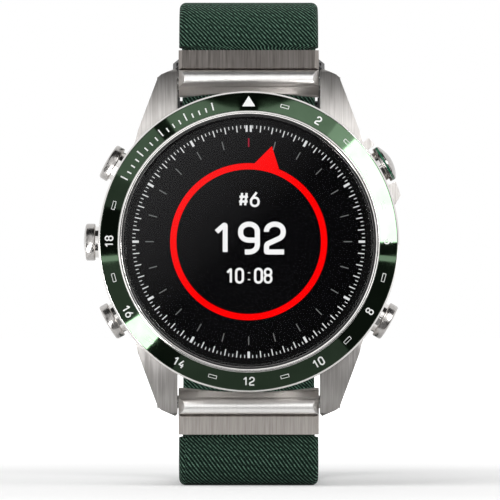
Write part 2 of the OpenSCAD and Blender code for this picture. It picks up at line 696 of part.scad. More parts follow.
module tail() color("darkgreen") {
    across(band_w) strip(tail_path, -band_t / 2, band_t / 2);
    across(band_w) intersection() {
        translate(ring_low) difference() {
            circle(wrap_ro);
            circle(wrap_ri);
        }
        polygon([ring_low + 9 * off_ring + 0.01 * along_ring, ring_low + 9 * off_ring - 9 * along_ring,
            ring_low - 9 * off_ring - 9 * along_ring, ring_low - 9 * off_ring]);
    }
}

case_body();
bezel_ring();
bezel_insert();
crystal();
crystal_gasket();
display_spacer();
display_panel();
display_chassis();
gps_antenna();
main_board();
shield_cans();
board_screws();
button_switches();
battery();
motor_can();
motor_rotor();
sensor_board();
sensor_leds();
sensor_photodiodes();
sensor_window();
charge_block();
charge_pins();
back_gasket();
back_cover();
back_screws();
lug_pins();
lug_screws();
button_tubes();
button_seals();
light_button();
up_button();
down_button();
start_button();
back_button();
light_clip();
up_clip();
down_clip();
start_clip();
back_clip();
light_spring();
up_spring();
down_spring();
start_spring();
back_spring();
start_band();
upper_link();
upper_latch();
upper_latch_springs();
upper_band_pin();
lower_link();
lower_latch();
lower_latch_springs();
lower_band_pin();
short_band();
ring();
long_band();
loop_patch();
tail();
hook_patch();
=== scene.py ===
"""Golf GPS watch: its finish, its printed dial and its woven band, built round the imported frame."""

import json
from math import atan2, cos, pi, radians, sin, tan

import bpy
from mathutils import Matrix, Vector


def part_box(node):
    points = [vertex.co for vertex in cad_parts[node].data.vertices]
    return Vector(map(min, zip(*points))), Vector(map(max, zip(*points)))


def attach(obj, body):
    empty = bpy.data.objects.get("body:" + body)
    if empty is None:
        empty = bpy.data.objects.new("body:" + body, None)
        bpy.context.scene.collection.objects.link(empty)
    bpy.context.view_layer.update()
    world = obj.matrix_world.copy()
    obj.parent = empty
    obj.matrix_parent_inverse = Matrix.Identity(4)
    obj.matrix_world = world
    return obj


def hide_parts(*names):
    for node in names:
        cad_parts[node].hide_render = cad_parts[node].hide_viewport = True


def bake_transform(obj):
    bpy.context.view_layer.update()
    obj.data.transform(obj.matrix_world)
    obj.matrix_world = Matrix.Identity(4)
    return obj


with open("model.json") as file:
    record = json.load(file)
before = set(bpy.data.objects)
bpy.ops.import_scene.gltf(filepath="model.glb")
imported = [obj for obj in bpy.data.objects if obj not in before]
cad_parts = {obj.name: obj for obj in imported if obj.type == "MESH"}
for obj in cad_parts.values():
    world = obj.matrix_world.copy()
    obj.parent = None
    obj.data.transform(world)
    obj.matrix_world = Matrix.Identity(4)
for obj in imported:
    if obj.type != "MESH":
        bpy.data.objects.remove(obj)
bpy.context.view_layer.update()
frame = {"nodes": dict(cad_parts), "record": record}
nodes = frame["nodes"]
MM = 0.001
bpy.context.scene.view_settings.view_transform = "Standard"

# ---- Room ----
# White floor and walls, a soft lamp overhead, and dark flags round the camera that give the polished
# metal and the ceramic their dark bands. The camera stands in front of the dial, a little low.

face_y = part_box("crystal")[0].y
dial_z = (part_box("crystal")[0].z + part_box("crystal")[1].z) / 2
HEAD = Vector((0, face_y, dial_z))
EYE_DISTANCE = 0.77
VIEW_WIDTH = 76.16 * MM
EYE_TILT = radians(0.8)
AIM = (0.2, 0, -1.31)
aim = HEAD + Vector(AIM) * MM
camera = bpy.data.objects.new("camera", bpy.data.cameras.new("camera"))
bpy.context.scene.collection.objects.link(camera)
camera.location = aim - EYE_DISTANCE * Vector((0, cos(EYE_TILT), sin(EYE_TILT)))
camera.rotation_euler = (pi / 2 + EYE_TILT, 0, 0)
camera.data.angle = 2 * atan2(VIEW_WIDTH / 2, EYE_DISTANCE)
camera.data.clip_start = 0.01
bpy.context.scene.camera = camera


def nodes_of(name):
    """A new material with its node tree, emptied, and its output node."""
    material = bpy.data.materials.new(name)
    material.use_nodes = True
    tree = material.node_tree
    tree.nodes.clear()
    return material, tree, tree.nodes.new("ShaderNodeOutputMaterial")


def seen_directly(tree):
    """A socket that is 1 for rays from the camera, and for those seen in a mirror or through glass."""
    path = tree.nodes.new("ShaderNodeLightPath")
    total = path.outputs["Is Camera Ray"]
    for ray in ("Is Glossy Ray", "Is Transmission Ray"):
        add = tree.nodes.new("ShaderNodeMath")
        add.operation = "MAXIMUM"
        tree.links.new(total, add.inputs[0])
        tree.links.new(path.outputs[ray], add.inputs[1])
        total = add.outputs[0]
    return total


ROOM_LIGHT = 0.62
world = bpy.data.worlds.new("room")
bpy.context.scene.world = world
world.use_nodes = True
tree = world.node_tree
tree.nodes.clear()
out = tree.nodes.new("ShaderNodeOutputWorld")
white = tree.nodes.new("ShaderNodeBackground")
soft = tree.nodes.new("ShaderNodeBackground")
white.inputs["Strength"].default_value = 1.0
soft.inputs["Strength"].default_value = ROOM_LIGHT
for ground in (white, soft):
    ground.inputs["Color"].default_value = (1, 1, 1, 1)
mix = tree.nodes.new("ShaderNodeMixShader")
tree.links.new(seen_directly(tree), mix.inputs[0])
tree.links.new(soft.outputs[0], mix.inputs[1])
tree.links.new(white.outputs[0], mix.inputs[2])
tree.links.new(mix.outputs[0], out.inputs[0])

FLOOR_GLOW = (0.20, 1.0)  # at the watch, where its shadow falls, and far from it
FLOOR_NEAR, FLOOR_FAR = 0.07, 0.40
bpy.ops.object.select_all(action="DESELECT")
bpy.ops.mesh.primitive_plane_add(size=12, location=(0, 0, 0))
floor = bpy.context.object
floor.name = "floor"
material, tree, out = nodes_of("floor_white")
plain = tree.nodes.new("ShaderNodeBsdfDiffuse")
plain.inputs["Color"].default_value = (0.8, 0.8, 0.8, 1)
shaded = tree.nodes.new("ShaderNodeBsdfDiffuse")
shaded.inputs["Color"].default_value = (0.72, 0.72, 0.72, 1)
glow = tree.nodes.new("ShaderNodeEmission")
place = tree.nodes.new("ShaderNodeTexCoord")
away = tree.nodes.new("ShaderNodeVectorMath")
away.operation = "LENGTH"
rise = tree.nodes.new("ShaderNodeMapRange")
rise.inputs["From Min"].default_value, rise.inputs["From Max"].default_value = FLOOR_NEAR, FLOOR_FAR
rise.inputs["To Min"].default_value, rise.inputs["To Max"].default_value = FLOOR_GLOW
tree.links.new(place.outputs["Object"], away.inputs[0])
tree.links.new(away.outputs["Value"], rise.inputs["Value"])
tree.links.new(rise.outputs[0], glow.inputs["Strength"])
both = tree.nodes.new("ShaderNodeAddShader")
mix = tree.nodes.new("ShaderNodeMixShader")
tree.links.new(shaded.outputs[0], both.inputs[0])
tree.links.new(glow.outputs[0], both.inputs[1])
tree.links.new(seen_directly(tree), mix.inputs[0])
tree.links.new(plain.outputs[0], mix.inputs[1])
tree.links.new(both.outputs[0], mix.inputs[2])
tree.links.new(mix.outputs[0], out.inputs[0])
floor.data.materials.append(material)

for name, place, size, power in (
    ("lamp_high", (-0.25, -0.35, 0.75), 0.5, 3.2),
    ("lamp_side", (0.6, -0.25, 0.35), 0.4, 1.2),
):
    lamp = bpy.data.objects.new(name, bpy.data.lights.new(name, "AREA"))
    bpy.context.scene.collection.objects.link(lamp)
    lamp.data.size = size
    lamp.data.energy = power
    lamp.visible_glossy = False
    lamp.location = place
    lamp.rotation_euler = (HEAD - Vector(place)).to_track_quat("-Z", "Y").to_euler()


def reflector(piece, name, level):
    """Makes a piece glow at a level for polished surfaces only; returns its glow and its node tree."""
    piece.name = name
    material, tree, out = nodes_of(name)
    glow = tree.nodes.new("ShaderNodeEmission")
    glow.inputs["Strength"].default_value = level
    tree.links.new(glow.outputs[0], out.inputs[0])
    piece.data.materials.append(material)
    for way in ("camera", "diffuse", "shadow", "transmission"):
        setattr(piece, "visible_" + way, False)
    return glow, tree


CARD_STEPS = 48


def card(name, level, inner, outer, since, until, back):
    """A sector of a ring round the camera's line: inner to outer degrees off it, and between clock angles."""
    bpy.ops.object.select_all(action="DESELECT")
    bpy.ops.mesh.primitive_plane_add(size=1)
    piece = bpy.context.object
    clock = [radians(until + (since - until) * i / CARD_STEPS) for i in range(CARD_STEPS + 1)]
    reach = [back * tan(radians(angle)) for angle in (inner, outer)]
    points = [HEAD + Vector((r * sin(a), -back, r * cos(a))) for a in clock for r in reach]
    piece.data = bpy.data.meshes.new(name)
    faces = [(2 * i, 2 * i + 1, 2 * i + 3, 2 * i + 2) for i in range(CARD_STEPS)]
    piece.data.from_pydata(points, [], faces)
    return reflector(piece, name, level)


def flat_card(name, level, size, place):
    """A level sheet, overhead or on the floor in front."""
    bpy.ops.object.select_all(action="DESELECT")
    bpy.ops.mesh.primitive_plane_add(size=1, location=place)
    bpy.context.object.scale = (*size, 1)
    reflector(bpy.context.object, name, level)


# Level of each sector from one clock angle to the next, in degrees clockwise from twelve
CARD_IN, CARD_OUT, CARD_BACK = 29, 53, 0.5
for name, level, since, until in (
    ("flag_twelve", 0.04, -4, 4), ("card_one", 1.15, 4, 36), ("card_two", 2.0, 36, 45),
    ("soft_box_right", 12.0, 45, 89), ("flag_four", 0.03, 89, 131), ("card_five", 0.30, 131, 178),
    ("card_six", 0.14, 178, 200), ("flag_seven", 0.03, 200, 221), ("soft_box_left", 12.0, 221, 237),
    ("card_eight", 0.9, 237, 252), ("card_half_eight", 0.22, 252, 266), ("flag_nine", 0.03, 266, 285),
    ("card_half_nine", 0.22, 285, 298), ("card_ten", 0.62, 298, 321), ("flag_half_ten", 0.05, 321, 327),
    ("card_eleven", 0.9, 327, 356),
):
    card(name, level, CARD_IN, CARD_OUT, since, until, CARD_BACK)

# A dark disc round the camera, lighter towards its upper left, which gives the crystal its sheen
SHEEN = 13.0
SHEEN_UP = 14 * MM
EYE_LEVEL = 0.01
glow, tree = card("flag_eye", EYE_LEVEL, 0, 9, -270, 90, 0.9)
place = tree.nodes.new("ShaderNodeTexCoord")
slope = tree.nodes.new("ShaderNodeVectorMath")
slope.operation = "DOT_PRODUCT"
slope.inputs[1].default_value = (-SHEEN, 0, SHEEN)
centred = tree.nodes.new("ShaderNodeMath")
centred.operation = "SUBTRACT"
centred.inputs[1].default_value = SHEEN * (HEAD.z + SHEEN_UP)
clamped = tree.nodes.new("ShaderNodeMath")
clamped.operation = "MAXIMUM"
clamped.inputs[1].default_value = EYE_LEVEL
tree.links.new(place.outputs["Object"], slope.inputs[0])
tree.links.new(slope.outputs["Value"], centred.inputs[0])
tree.links.new(centred.outputs[0], clamped.inputs[0])
tree.links.new(clamped.outputs[0], glow.inputs["Strength"])

flat_card("flag_overhead", 0.06, (1.6, 0.9), (0, -0.42, 0.55))
flat_card("flag_near", 0.02, (0.26, 0.11), (0, -0.082, 0.16))
STRIP_LENGTH, STRIP_FRONT, STRIP_UP = 0.30, 0.160, 0.0012
for name, level, left, right in (
    ("floor_left", 0.25, -0.35, -0.056), ("floor_strip", 11.0, -0.056, -0.035),
    ("floor_dark", 0.04, -0.035, -0.022), ("floor_middle", 0.22, -0.022, 0.034),
    ("floor_right", 0.04, 0.034, 0.35),
):
    middle = ((left + right) / 2, face_y - STRIP_FRONT, STRIP_UP)
    flat_card(name, level, (right - left, STRIP_LENGTH), middle)

# ---- Metal of the case ----
# Titanium. The case middle, its four lugs and the shoulders by the start button are one forging, which is
# machined, brushed from lug to lug and then polished along its edges.


def noise(tree, scale, stretch=(1, 1, 1), detail=3.0, roughness=0.5, source=None):
    """A noise on Object coordinates, in metres, stretched by a factor along each axis."""
    place = tree.nodes.new("ShaderNodeTexCoord")
    mapping = tree.nodes.new("ShaderNodeMapping")
    mapping.inputs["Scale"].default_value = stretch
    texture = tree.nodes.new("ShaderNodeTexNoise")
    texture.inputs["Scale"].default_value = scale
    texture.inputs["Detail"].default_value = detail
    texture.inputs["Roughness"].default_value = roughness
    tree.links.new(source or place.outputs["Object"], mapping.inputs[0])
    tree.links.new(mapping.outputs[0], texture.inputs["Vector"])
    return texture.outputs["Fac"]


def ramp(tree, fac, stops):
    """A colour ramp from (place, colour) stops; a colour may be one grey level."""
    node = tree.nodes.new("ShaderNodeValToRGB")
    while len(node.color_ramp.elements) < len(stops):
        node.color_ramp.elements.new(0.5)
    for element, (place, colour) in zip(node.color_ramp.elements, stops):
        element.position = place
        level = colour if isinstance(colour, tuple) else (colour,) * 3
        element.color = (*level, 1)
    tree.links.new(fac, node.inputs[0])
    return node.outputs["Color"]


def bump(tree, shader, height, distance, strength=1.0):
    node = tree.nodes.new("ShaderNodeBump")
    node.inputs["Distance"].default_value = distance
    node.inputs["Strength"].default_value = strength
    tree.links.new(height, node.inputs["Height"])
    tree.links.new(node.outputs[0], shader.inputs["Normal"])


def finish(
    name, colours, rough, metal=0.0, scale=4000, stretch=(1, 1, 1), relief=0.0, detail=3.0, **sockets,
):
    """A material whose colour and roughness vary with one noise, and whose other sockets are plain."""
    material, tree, out = nodes_of(name)
    shader = tree.nodes.new("ShaderNodeBsdfPrincipled")
    tree.links.new(shader.outputs[0], out.inputs[0])
    grain = noise(tree, scale, stretch, detail)
    tree.links.new(ramp(tree, grain, [(0.25, colours[0]), (0.75, colours[1])]), shader.inputs["Base Color"])
    tree.links.new(ramp(tree, grain, [(0.25, rough[0]), (0.75, rough[1])]), shader.inputs["Roughness"])
    shader.inputs["Metallic"].default_value = metal
    for socket, value in sockets.items():
        shader.inputs[socket.replace("_", " ")].default_value = value
    if relief:
        bump(tree, shader, grain, relief)
    return material


def activate(piece):
    bpy.ops.object.select_all(action="DESELECT")
    piece.select_set(True)
    bpy.context.view_layer.objects.active = piece


def settle(piece, angle=30, flats=False):
    """Smooths the shading across shallow angles, keeps flats flat, and leaves the object at the origin."""
    activate(piece)
    bpy.ops.object.transform_apply(location=True, rotation=True, scale=True)
    bpy.ops.object.shade_smooth_by_angle(angle=radians(angle))
    if flats:
        weigh = piece.modifiers.new("flats", "WEIGHTED_NORMAL")
        weigh.keep_sharp = True
        weigh.weight = 90
        bpy.ops.object.modifier_apply(modifier=weigh.name)
    bpy.ops.object.select_all(action="DESELECT")


def body_holding(node):
    return next(b for b, names in frame["record"]["behaviour"]["bodies"].items() if node in names)


def dress(node, material, edge, segments=2, angle=32):
    """A copy of a CAD node with its flats merged and its edges broken by a small bevel."""
    piece = nodes[node].copy()
    piece.data = nodes[node].data.copy()
    for key in list(piece.keys()):
        del piece[key]
    piece.name = node + "_finished"
    piece.parent = None
    bpy.context.scene.collection.objects.link(piece)
    activate(piece)
    bpy.ops.object.mode_set(mode="EDIT")
    bpy.ops.mesh.select_all(action="SELECT")
    bpy.ops.mesh.remove_doubles(threshold=0.004 * MM)
    bpy.ops.mesh.dissolve_limited(angle_limit=radians(0.6))
    bpy.ops.object.mode_set(mode="OBJECT")
    chamfer = piece.modifiers.new("edge", "BEVEL")
    chamfer.width = edge * MM
    chamfer.segments = segments
    chamfer.limit_method = "ANGLE"
    chamfer.angle_limit = radians(angle)
    chamfer.miter_outer = "MITER_ARC"
    bpy.ops.object.modifier_apply(modifier=chamfer.name)
    piece.data.materials.clear()
    piece.data.materials.append(material)
    settle(piece, flats=True)
    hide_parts(node)
    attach(piece, body_holding(node))
    return piece


def paint(node, material):
    nodes[node].data.materials.clear()
    nodes[node].data.materials.append(material)


BRUSH = (4600, 420, 130)  # noise cells per metre: fine across the strokes, long down them
BRUSH_RELIEF = 0.004 * MM
brushed = finish(
    "titanium_brushed", ((0.60, 0.57, 0.545), (0.86, 0.83, 0.805)), (0.28, 0.40), metal=1.0, scale=1.0,
    stretch=BRUSH, relief=BRUSH_RELIEF,
)

# Painted shade: the colour darkens towards the tips of the lugs, by distance above or below the dial's
# centre, in place of the darker light the tips catch
PAINTED_SHADE_FROM, PAINTED_SHADE_TO, TIP_PAINTED_SHADE = 18 * MM, 28 * MM, 0.26
tree = brushed.node_tree
shader = next(n for n in tree.nodes if n.type == "BSDF_PRINCIPLED")
place = tree.nodes.new("ShaderNodeTexCoord")
height = tree.nodes.new("ShaderNodeSeparateXYZ")
from_dial = tree.nodes.new("ShaderNodeMath")
from_dial.operation = "SUBTRACT"
from_dial.inputs[1].default_value = dial_z
reach = tree.nodes.new("ShaderNodeMath")
reach.operation = "ABSOLUTE"
painted_tip_shade = tree.nodes.new("ShaderNodeMapRange")
painted_tip_shade.inputs["From Min"].default_value, painted_tip_shade.inputs["From Max"].default_value = PAINTED_SHADE_FROM, PAINTED_SHADE_TO
painted_tip_shade.inputs["To Min"].default_value, painted_tip_shade.inputs["To Max"].default_value = 1.0, TIP_PAINTED_SHADE
shade = tree.nodes.new("ShaderNodeVectorMath")
shade.operation = "SCALE"
tree.links.new(place.outputs["Object"], height.inputs[0])
tree.links.new(height.outputs["Z"], from_dial.inputs[0])
tree.links.new(from_dial.outputs[0], reach.inputs[0])
tree.links.new(reach.outputs[0], painted_tip_shade.inputs["Value"])
tree.links.new(shader.inputs["Base Color"].links[0].from_socket, shade.inputs[0])
tree.links.new(painted_tip_shade.outputs[0], shade.inputs["Scale"])
tree.links.new(shade.outputs[0], shader.inputs["Base Color"])

# Painted shade: the end links are the case's brushed titanium, given darker copies of it for the shade on
# their sloping plates, the upper link darker than the lower
brushed_upper_painted_shade = finish(
    "titanium_brushed_link", ((0.21, 0.19, 0.175), (0.36, 0.33, 0.31)), (0.28, 0.40), metal=1.0, scale=1.0,
    stretch=BRUSH, relief=BRUSH_RELIEF,
)
brushed_lower_painted_shade = finish(
    "titanium_brushed_lower", ((0.30, 0.275, 0.255), (0.47, 0.44, 0.415)), (0.28, 0.40), metal=1.0, scale=1.0,
    stretch=BRUSH, relief=BRUSH_RELIEF,
)
satin = finish(
    "titanium_satin", ((0.84, 0.825, 0.81), (0.90, 0.885, 0.87)), (0.34, 0.40), metal=1.0, scale=1.0,
    stretch=(3000, 3000, 400),
)
polished = finish(
    "titanium_polished", ((0.74, 0.72, 0.70), (0.80, 0.785, 0.77)), (0.06, 0.11), metal=1.0, scale=900,
)
turned_cap = finish(
    "titanium_turned_cap", ((0.40, 0.385, 0.37), (0.56, 0.54, 0.525)), (0.18, 0.26), metal=1.0, scale=2500,
)
dress("case_body", brushed, 0.14)

# ---- Lug pins ----
# A steel pin runs through each pair of lugs, and a slotted screw closes each end of its hole.

steel = finish(
    "steel_turned", ((0.50, 0.50, 0.49), (0.66, 0.66, 0.65)), (0.22, 0.34), metal=1.0, scale=6000,
)
paint("lug_pins", steel)
dress("lug_screws", steel, 0.06)

# ---- Bezel ----
# A turned titanium ring with a polished rim and a polished lip round the crystal.

CRYSTAL_R = 19.14
LIP_RI = 19.42
INSERT_RI = 19.97
INSERT_RO = 22.72
BEZEL_R = 23.0
BORE_R = 18.45
POCKET, SEAT = 2.2, 3.9


def on_dial(x, up, depth=0.0):
    """A point in the row frame from millimetres across the dial, up it and behind the crystal's face."""
    return HEAD + Vector((x, depth, up)) * MM


def turned(name, profile, material, edge=0.0, steps=256):
    """A turned piece: a circle carried round a closed profile of (radius, depth) about the dial's axis."""
    bpy.ops.object.select_all(action="DESELECT")
    radius, depth = profile[0]
    bpy.ops.mesh.primitive_circle_add(
        vertices=steps, radius=radius * MM, location=on_dial(0, 0, depth), rotation=(pi / 2, 0, 0),
    )
    piece = bpy.context.object
    piece.name = name
    bpy.ops.object.mode_set(mode="EDIT")
    for new_radius, new_depth in profile[1:] + profile[:1]:
        bpy.ops.mesh.extrude_region_move(TRANSFORM_OT_translate={"value": (0, (new_depth - depth) * MM, 0)})
        grow = new_radius / radius
        bpy.ops.transform.resize(value=(grow, 1, grow), center_override=on_dial(0, 0, new_depth))
        radius, depth = new_radius, new_depth
    bpy.ops.mesh.select_all(action="SELECT")
    bpy.ops.mesh.remove_doubles(threshold=0.0005 * MM)
    bpy.ops.mesh.normals_make_consistent(inside=False)
    bpy.ops.object.mode_set(mode="OBJECT")
    if edge:
        chamfer = piece.modifiers.new("edge", "BEVEL")
        chamfer.width = edge * MM
        chamfer.segments = 3
        chamfer.limit_method = "ANGLE"
        chamfer.angle_limit = radians(20)
        bpy.ops.object.modifier_apply(modifier=chamfer.name)
    piece.data.materials.append(material)
    settle(piece, flats=True)
    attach(piece, "head")
    return piece


bezel = turned(
    "bezel_finished",
    [(BEZEL_R, SEAT), (BEZEL_R, 1.86), (INSERT_RO, 1.46), (INSERT_RO, POCKET), (INSERT_RI, POCKET),
     (INSERT_RI, 0.25), (LIP_RI, 0.25), (LIP_RI, 2.05), (BORE_R, 2.05), (BORE_R, SEAT)],
    polished, 0.07,
)
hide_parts("bezel_ring")

# ---- Bezel insert ----
# A cone of dark green ceramic, fired, ground and lapped to a high gloss. Its marks are engraved and
# filled with white enamel: a triangle, the even numbers from 2 to 18, a frame between each, and a scale.

material, tree, out = nodes_of("ceramic_green")
shader = tree.nodes.new("ShaderNodeBsdfPrincipled")
tree.links.new(shader.outputs[0], out.inputs[0])
cloud = noise(tree, 350, detail=2.0)
green = ramp(tree, cloud, [(0.3, (0.058, 0.108, 0.058)), (0.7, (0.074, 0.130, 0.074))])
tree.links.new(green, shader.inputs["Base Color"])
tree.links.new(ramp(tree, cloud, [(0.3, 0.03), (0.7, 0.07)]), shader.inputs["Roughness"])
shader.inputs["Metallic"].default_value = 1.0
shader.inputs["Coat Weight"].default_value = 0.5
shader.inputs["Coat Roughness"].default_value = 0.03
CONE_RI, CONE_RO, CONE_IN, CONE_OUT, CONE_BACK = 19.99, 22.68, 0.46, 1.45, 2.18
insert = turned(
    "bezel_insert_finished",
    [(CONE_RO, CONE_BACK), (CONE_RO, CONE_OUT), (CONE_RI, CONE_IN), (CONE_RI, CONE_BACK)],
    material, 0.05,
)
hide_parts("bezel_insert")

enamel = finish("enamel_white", ((0.80, 0.81, 0.80), (0.88, 0.88, 0.87)), (0.30, 0.45), scale=9000)

# The strokes of each sign in a cell 1 wide and 2 high, as (x, y, corner radius)
NUMERALS = {
    "0": [[(0, .5, 0), (0, 2, .5), (1, 2, .5), (1, 0, .5), (0, 0, .5), (0, .5, 0)]],
    "1": [[(.1, 1.45, 0), (.62, 2, .05), (.62, 0, 0)]],
    "2": [[(0, 1.45, 0), (0, 2, .5), (1, 2, .5), (1, 1.1, .5), (0, .55, .25), (0, 0, .05), (1.05, 0, 0)]],
    "4": [[(.6, 2, 0), (0, .6, .05), (1.1, .6, 0)], [(.8, 1.2, 0), (.8, 0, 0)]],
    "6": [[(.75, 2, 0), (0, .9, .5), (0, 0, .5), (1, 0, .5), (1, 1.22, .5), (0, 1.22, .5), (0, .6, 0)]],
    "8": [[(.5, 1.06, 0), (.02, 1.06, .42), (.02, 2, .48), (.98, 2, .48), (.98, 1.06, .42), (.5, 1.06, 0)],
          [(.5, 1.06, 0), (0, 1.06, .45), (0, 0, .5), (1, 0, .5), (1, 1.06, .45), (.5, 1.06, 0)]],
    "9": [[(1, 1.4, 0), (1, 2, .5), (0, 2, .5), (0, .85, .5), (1, .85, .5)],
          [(1, 1.4, 0), (1, 0, .5), (.25, 0, 0)]],
    "#": [[(.35, 1.9, 0), (.15, .1, 0)], [(.95, 1.9, 0), (.75, .1, 0)], [(0, 1.35, 0), (1.12, 1.35, 0)],
          [(-.05, .65, 0), (1.07, .65, 0)]],
    ":": [[(.5, 1.35, 0), (.5, 1.5, 0)], [(.5, .35, 0), (.5, .5, 0)]],
}


def rounded(points):
    """A line through (x, y, radius) corners, each rounded by its radius."""
    line = [Vector(points[0][:2])]
    for before, here, after in zip(points, points[1:], points[2:]):
        corner, radius = Vector(here[:2]), here[2]
        to, on = (Vector(before[:2]) - corner), (Vector(after[:2]) - corner)
        half = to.angle(on) / 2
        back = min(radius / tan(half), to.length * 0.98, on.length * 0.98) if radius else 0
        if back < 1e-4:
            line.append(corner)
            continue
        radius = back * tan(half)
        start, end = corner + to.normalized() * back, corner + on.normalized() * back
        centre = corner + (to.normalized() + on.normalized()).normalized() * radius / sin(half)
        a0 = atan2(*(start - centre).yx)
        sweep = (atan2(*(end - centre).yx) - a0 + pi) % (2 * pi) - pi
        bend = [a0 + sweep * i / 8 for i in range(9)]
        line += [centre + radius * Vector((cos(a), sin(a))) for a in bend]
    line.append(Vector(points[-1][:2]))
    return line


def stroke(line, width, thick=0.03):
    """A flat-faced line of paint as a mesh, from points in millimetres, lying in the XZ plane."""
    curve = bpy.data.curves.new("stroke", "CURVE")
    curve.dimensions = "3D"
    curve.bevel_depth = width * MM / 2
    curve.bevel_resolution = 3
    curve.use_fill_caps = True
    spline = curve.splines.new("POLY")
    spline.points.add(len(line) - 1)
    for point, place in zip(spline.points, line):
        point.co = (place.x * MM, 0, place.y * MM, 1)
    piece = bpy.data.objects.new("stroke", curve)
    bpy.context.scene.collection.objects.link(piece)
    activate(piece)
    bpy.ops.object.convert(target="MESH")
    piece = bpy.context.object
    piece.scale = (1, thick / width, 1)
    bpy.ops.object.transform_apply(location=True, rotation=True, scale=True)
    return piece


def word(text, height, width, weight, step):
    """Signs side by side, centred on the origin."""
    pieces = []
    for i, sign in enumerate(text):
        for points in NUMERALS[sign]:
            left = (i - (len(text) - 1) / 2) * step - width / 2
            line = [Vector((left + p.x * width, (p.y - 1) * height / 2)) for p in rounded(points)]
            pieces.append(stroke(line, weight))
    return pieces


def placed(pieces, where):
    for piece in pieces:
        piece.matrix_world = where @ piece.matrix_world
    return pieces


def joined(name, pieces, material):
    """Joins strokes into one finished piece on the head."""
    bpy.ops.object.select_all(action="DESELECT")
    for piece in pieces:
        piece.select_set(True)
    bpy.context.view_layer.objects.active = pieces[0]
    bpy.ops.object.join()
    piece = bpy.context.object
    piece.name = name
    piece.data.materials.clear()
    piece.data.materials.append(material)
    settle(piece, 45)
    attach(piece, "head")
    return piece


def bar(length, width, thick=0.03):
    """A straight mark with square ends, standing on its middle along Z."""
    bpy.ops.object.select_all(action="DESELECT")
    bpy.ops.mesh.primitive_plane_add(size=1, rotation=(pi / 2, 0, 0))
    piece = bpy.context.object
    piece.scale = (width * MM, length * MM, 1)
    bpy.ops.object.transform_apply(location=True, rotation=True, scale=True)
    bpy.ops.object.mode_set(mode="EDIT")
    bpy.ops.mesh.extrude_region_move(TRANSFORM_OT_translate={"value": (0, -thick * MM, 0)})
    bpy.ops.mesh.inset(thickness=min(width, length) * 0.06 * MM)
    bpy.ops.mesh.select_all(action="SELECT")
    bpy.ops.mesh.normals_make_consistent(inside=False)
    bpy.ops.object.mode_set(mode="OBJECT")
    return piece


CONE_SLOPE = atan2(CONE_OUT - CONE_IN, CONE_RO - CONE_RI)
MARK_R, SUNK = 21.3, 0.012


def on_cone(clock, radius, spin=0.0):
    """Where a mark lies on the insert, at degrees clockwise from twelve, turned by spin in its place."""
    depth = CONE_IN + (radius - CONE_RI) * tan(CONE_SLOPE) - SUNK
    return (
        Matrix.Translation(HEAD) @ Matrix.Rotation(radians(clock), 4, "Y")
        @ Matrix.Translation(Vector((0, depth, radius)) * MM)
        @ Matrix.Rotation(-CONE_SLOPE, 4, "X") @ Matrix.Rotation(radians(spin), 4, "Y")
    )


HOLE_STEP = 15
marks = []
for hole in range(2, 19, 2):
    flipped = 90 < hole * HOLE_STEP < 260
    where = on_cone(hole * HOLE_STEP, MARK_R, 180 if flipped else 0)
    marks += placed(word(str(hole), 1.24, 0.64, 0.22, 0.98), where)
FRAME_LINE = [Vector(p) for p in ((-.62, -.24), (-.62, .24), (.62, .24), (.62, -.24), (-.62, -.24))]
for hole in range(1, 20, 2):
    marks += placed([stroke(FRAME_LINE, 0.12)], on_cone(hole * HOLE_STEP, MARK_R))
for i, clock in enumerate(range(297, 346, 3)):
    length, radius = (1.3, MARK_R) if i % 4 == 0 else (0.75, 21.02)
    marks += placed([bar(length, 0.2)], on_cone(clock, radius))
bpy.ops.object.select_all(action="DESELECT")
bpy.ops.mesh.primitive_circle_add(vertices=3, radius=1.16 * MM, fill_type="NGON", rotation=(pi / 2, 0, 0))
triangle = bpy.context.object
bpy.ops.object.transform_apply(location=True, rotation=True, scale=True)
bpy.ops.object.mode_set(mode="EDIT")
bpy.ops.mesh.bevel(offset=0.1 * MM, segments=3, affect="VERTICES")
bpy.ops.mesh.select_all(action="SELECT")
bpy.ops.mesh.extrude_region_move(TRANSFORM_OT_translate={"value": (0, -0.03 * MM, 0)})
bpy.ops.mesh.select_all(action="SELECT")
bpy.ops.mesh.normals_make_consistent(inside=False)
bpy.ops.object.mode_set(mode="OBJECT")
marks += placed([triangle], on_cone(0, 21.15))
joined("bezel_marks", marks, enamel)

# ---- Crystal ----
# A disc of sapphire 2 mm thick with a chamfer round its face, coated against glare, in a black gasket.

rubber = finish(
    "gasket_rubber", ((0.012, 0.012, 0.012), (0.022, 0.022, 0.022)), (0.55, 0.7), scale=5000,
)
paint("crystal_gasket", rubber)
material, tree, out = nodes_of("sapphire")
shader = tree.nodes.new("ShaderNodeBsdfPrincipled")
tree.links.new(shader.outputs[0], out.inputs[0])
film = noise(tree, 60, detail=1.0)
tint = ramp(tree, film, [(0.3, (0.004, 0.004, 0.005)), (0.7, (0.006, 0.006, 0.007))])
tree.links.new(tint, shader.inputs["Base Color"])
shader.inputs["Roughness"].default_value = 0.02
shader.inputs["IOR"].default_value = 1.77
shader.inputs["Alpha"].default_value = 0.22
CRYSTAL_T = 2.0
disc_r = CRYSTAL_R - 0.02
crystal = turned(
    "crystal_finished",
    [(0.01, CRYSTAL_T), (disc_r, CRYSTAL_T), (disc_r, 0.42), (disc_r - 0.45, 0.0), (0.01, 0.0)],
    material, 0.03,
)
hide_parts("crystal")

# ---- Dial ----
# A liquid crystal display under the glass, with a printed black border that carries the minute scale.
# The panel shows a red ring with a pointer and three plain readings.

panel = finish(
    "panel_black", ((0.0015, 0.0015, 0.002), (0.003, 0.003, 0.0035)), (0.10, 0.12), scale=1500,
    Specular_IOR_Level=0.12,
)
print_black = finish(
    "border_black", ((0.001, 0.001, 0.001), (0.002, 0.002, 0.002)), (0.2, 0.3), scale=4000,
    Specular_IOR_Level=0.1,
)
paint("display_panel", panel)
paint("display_spacer", print_black)


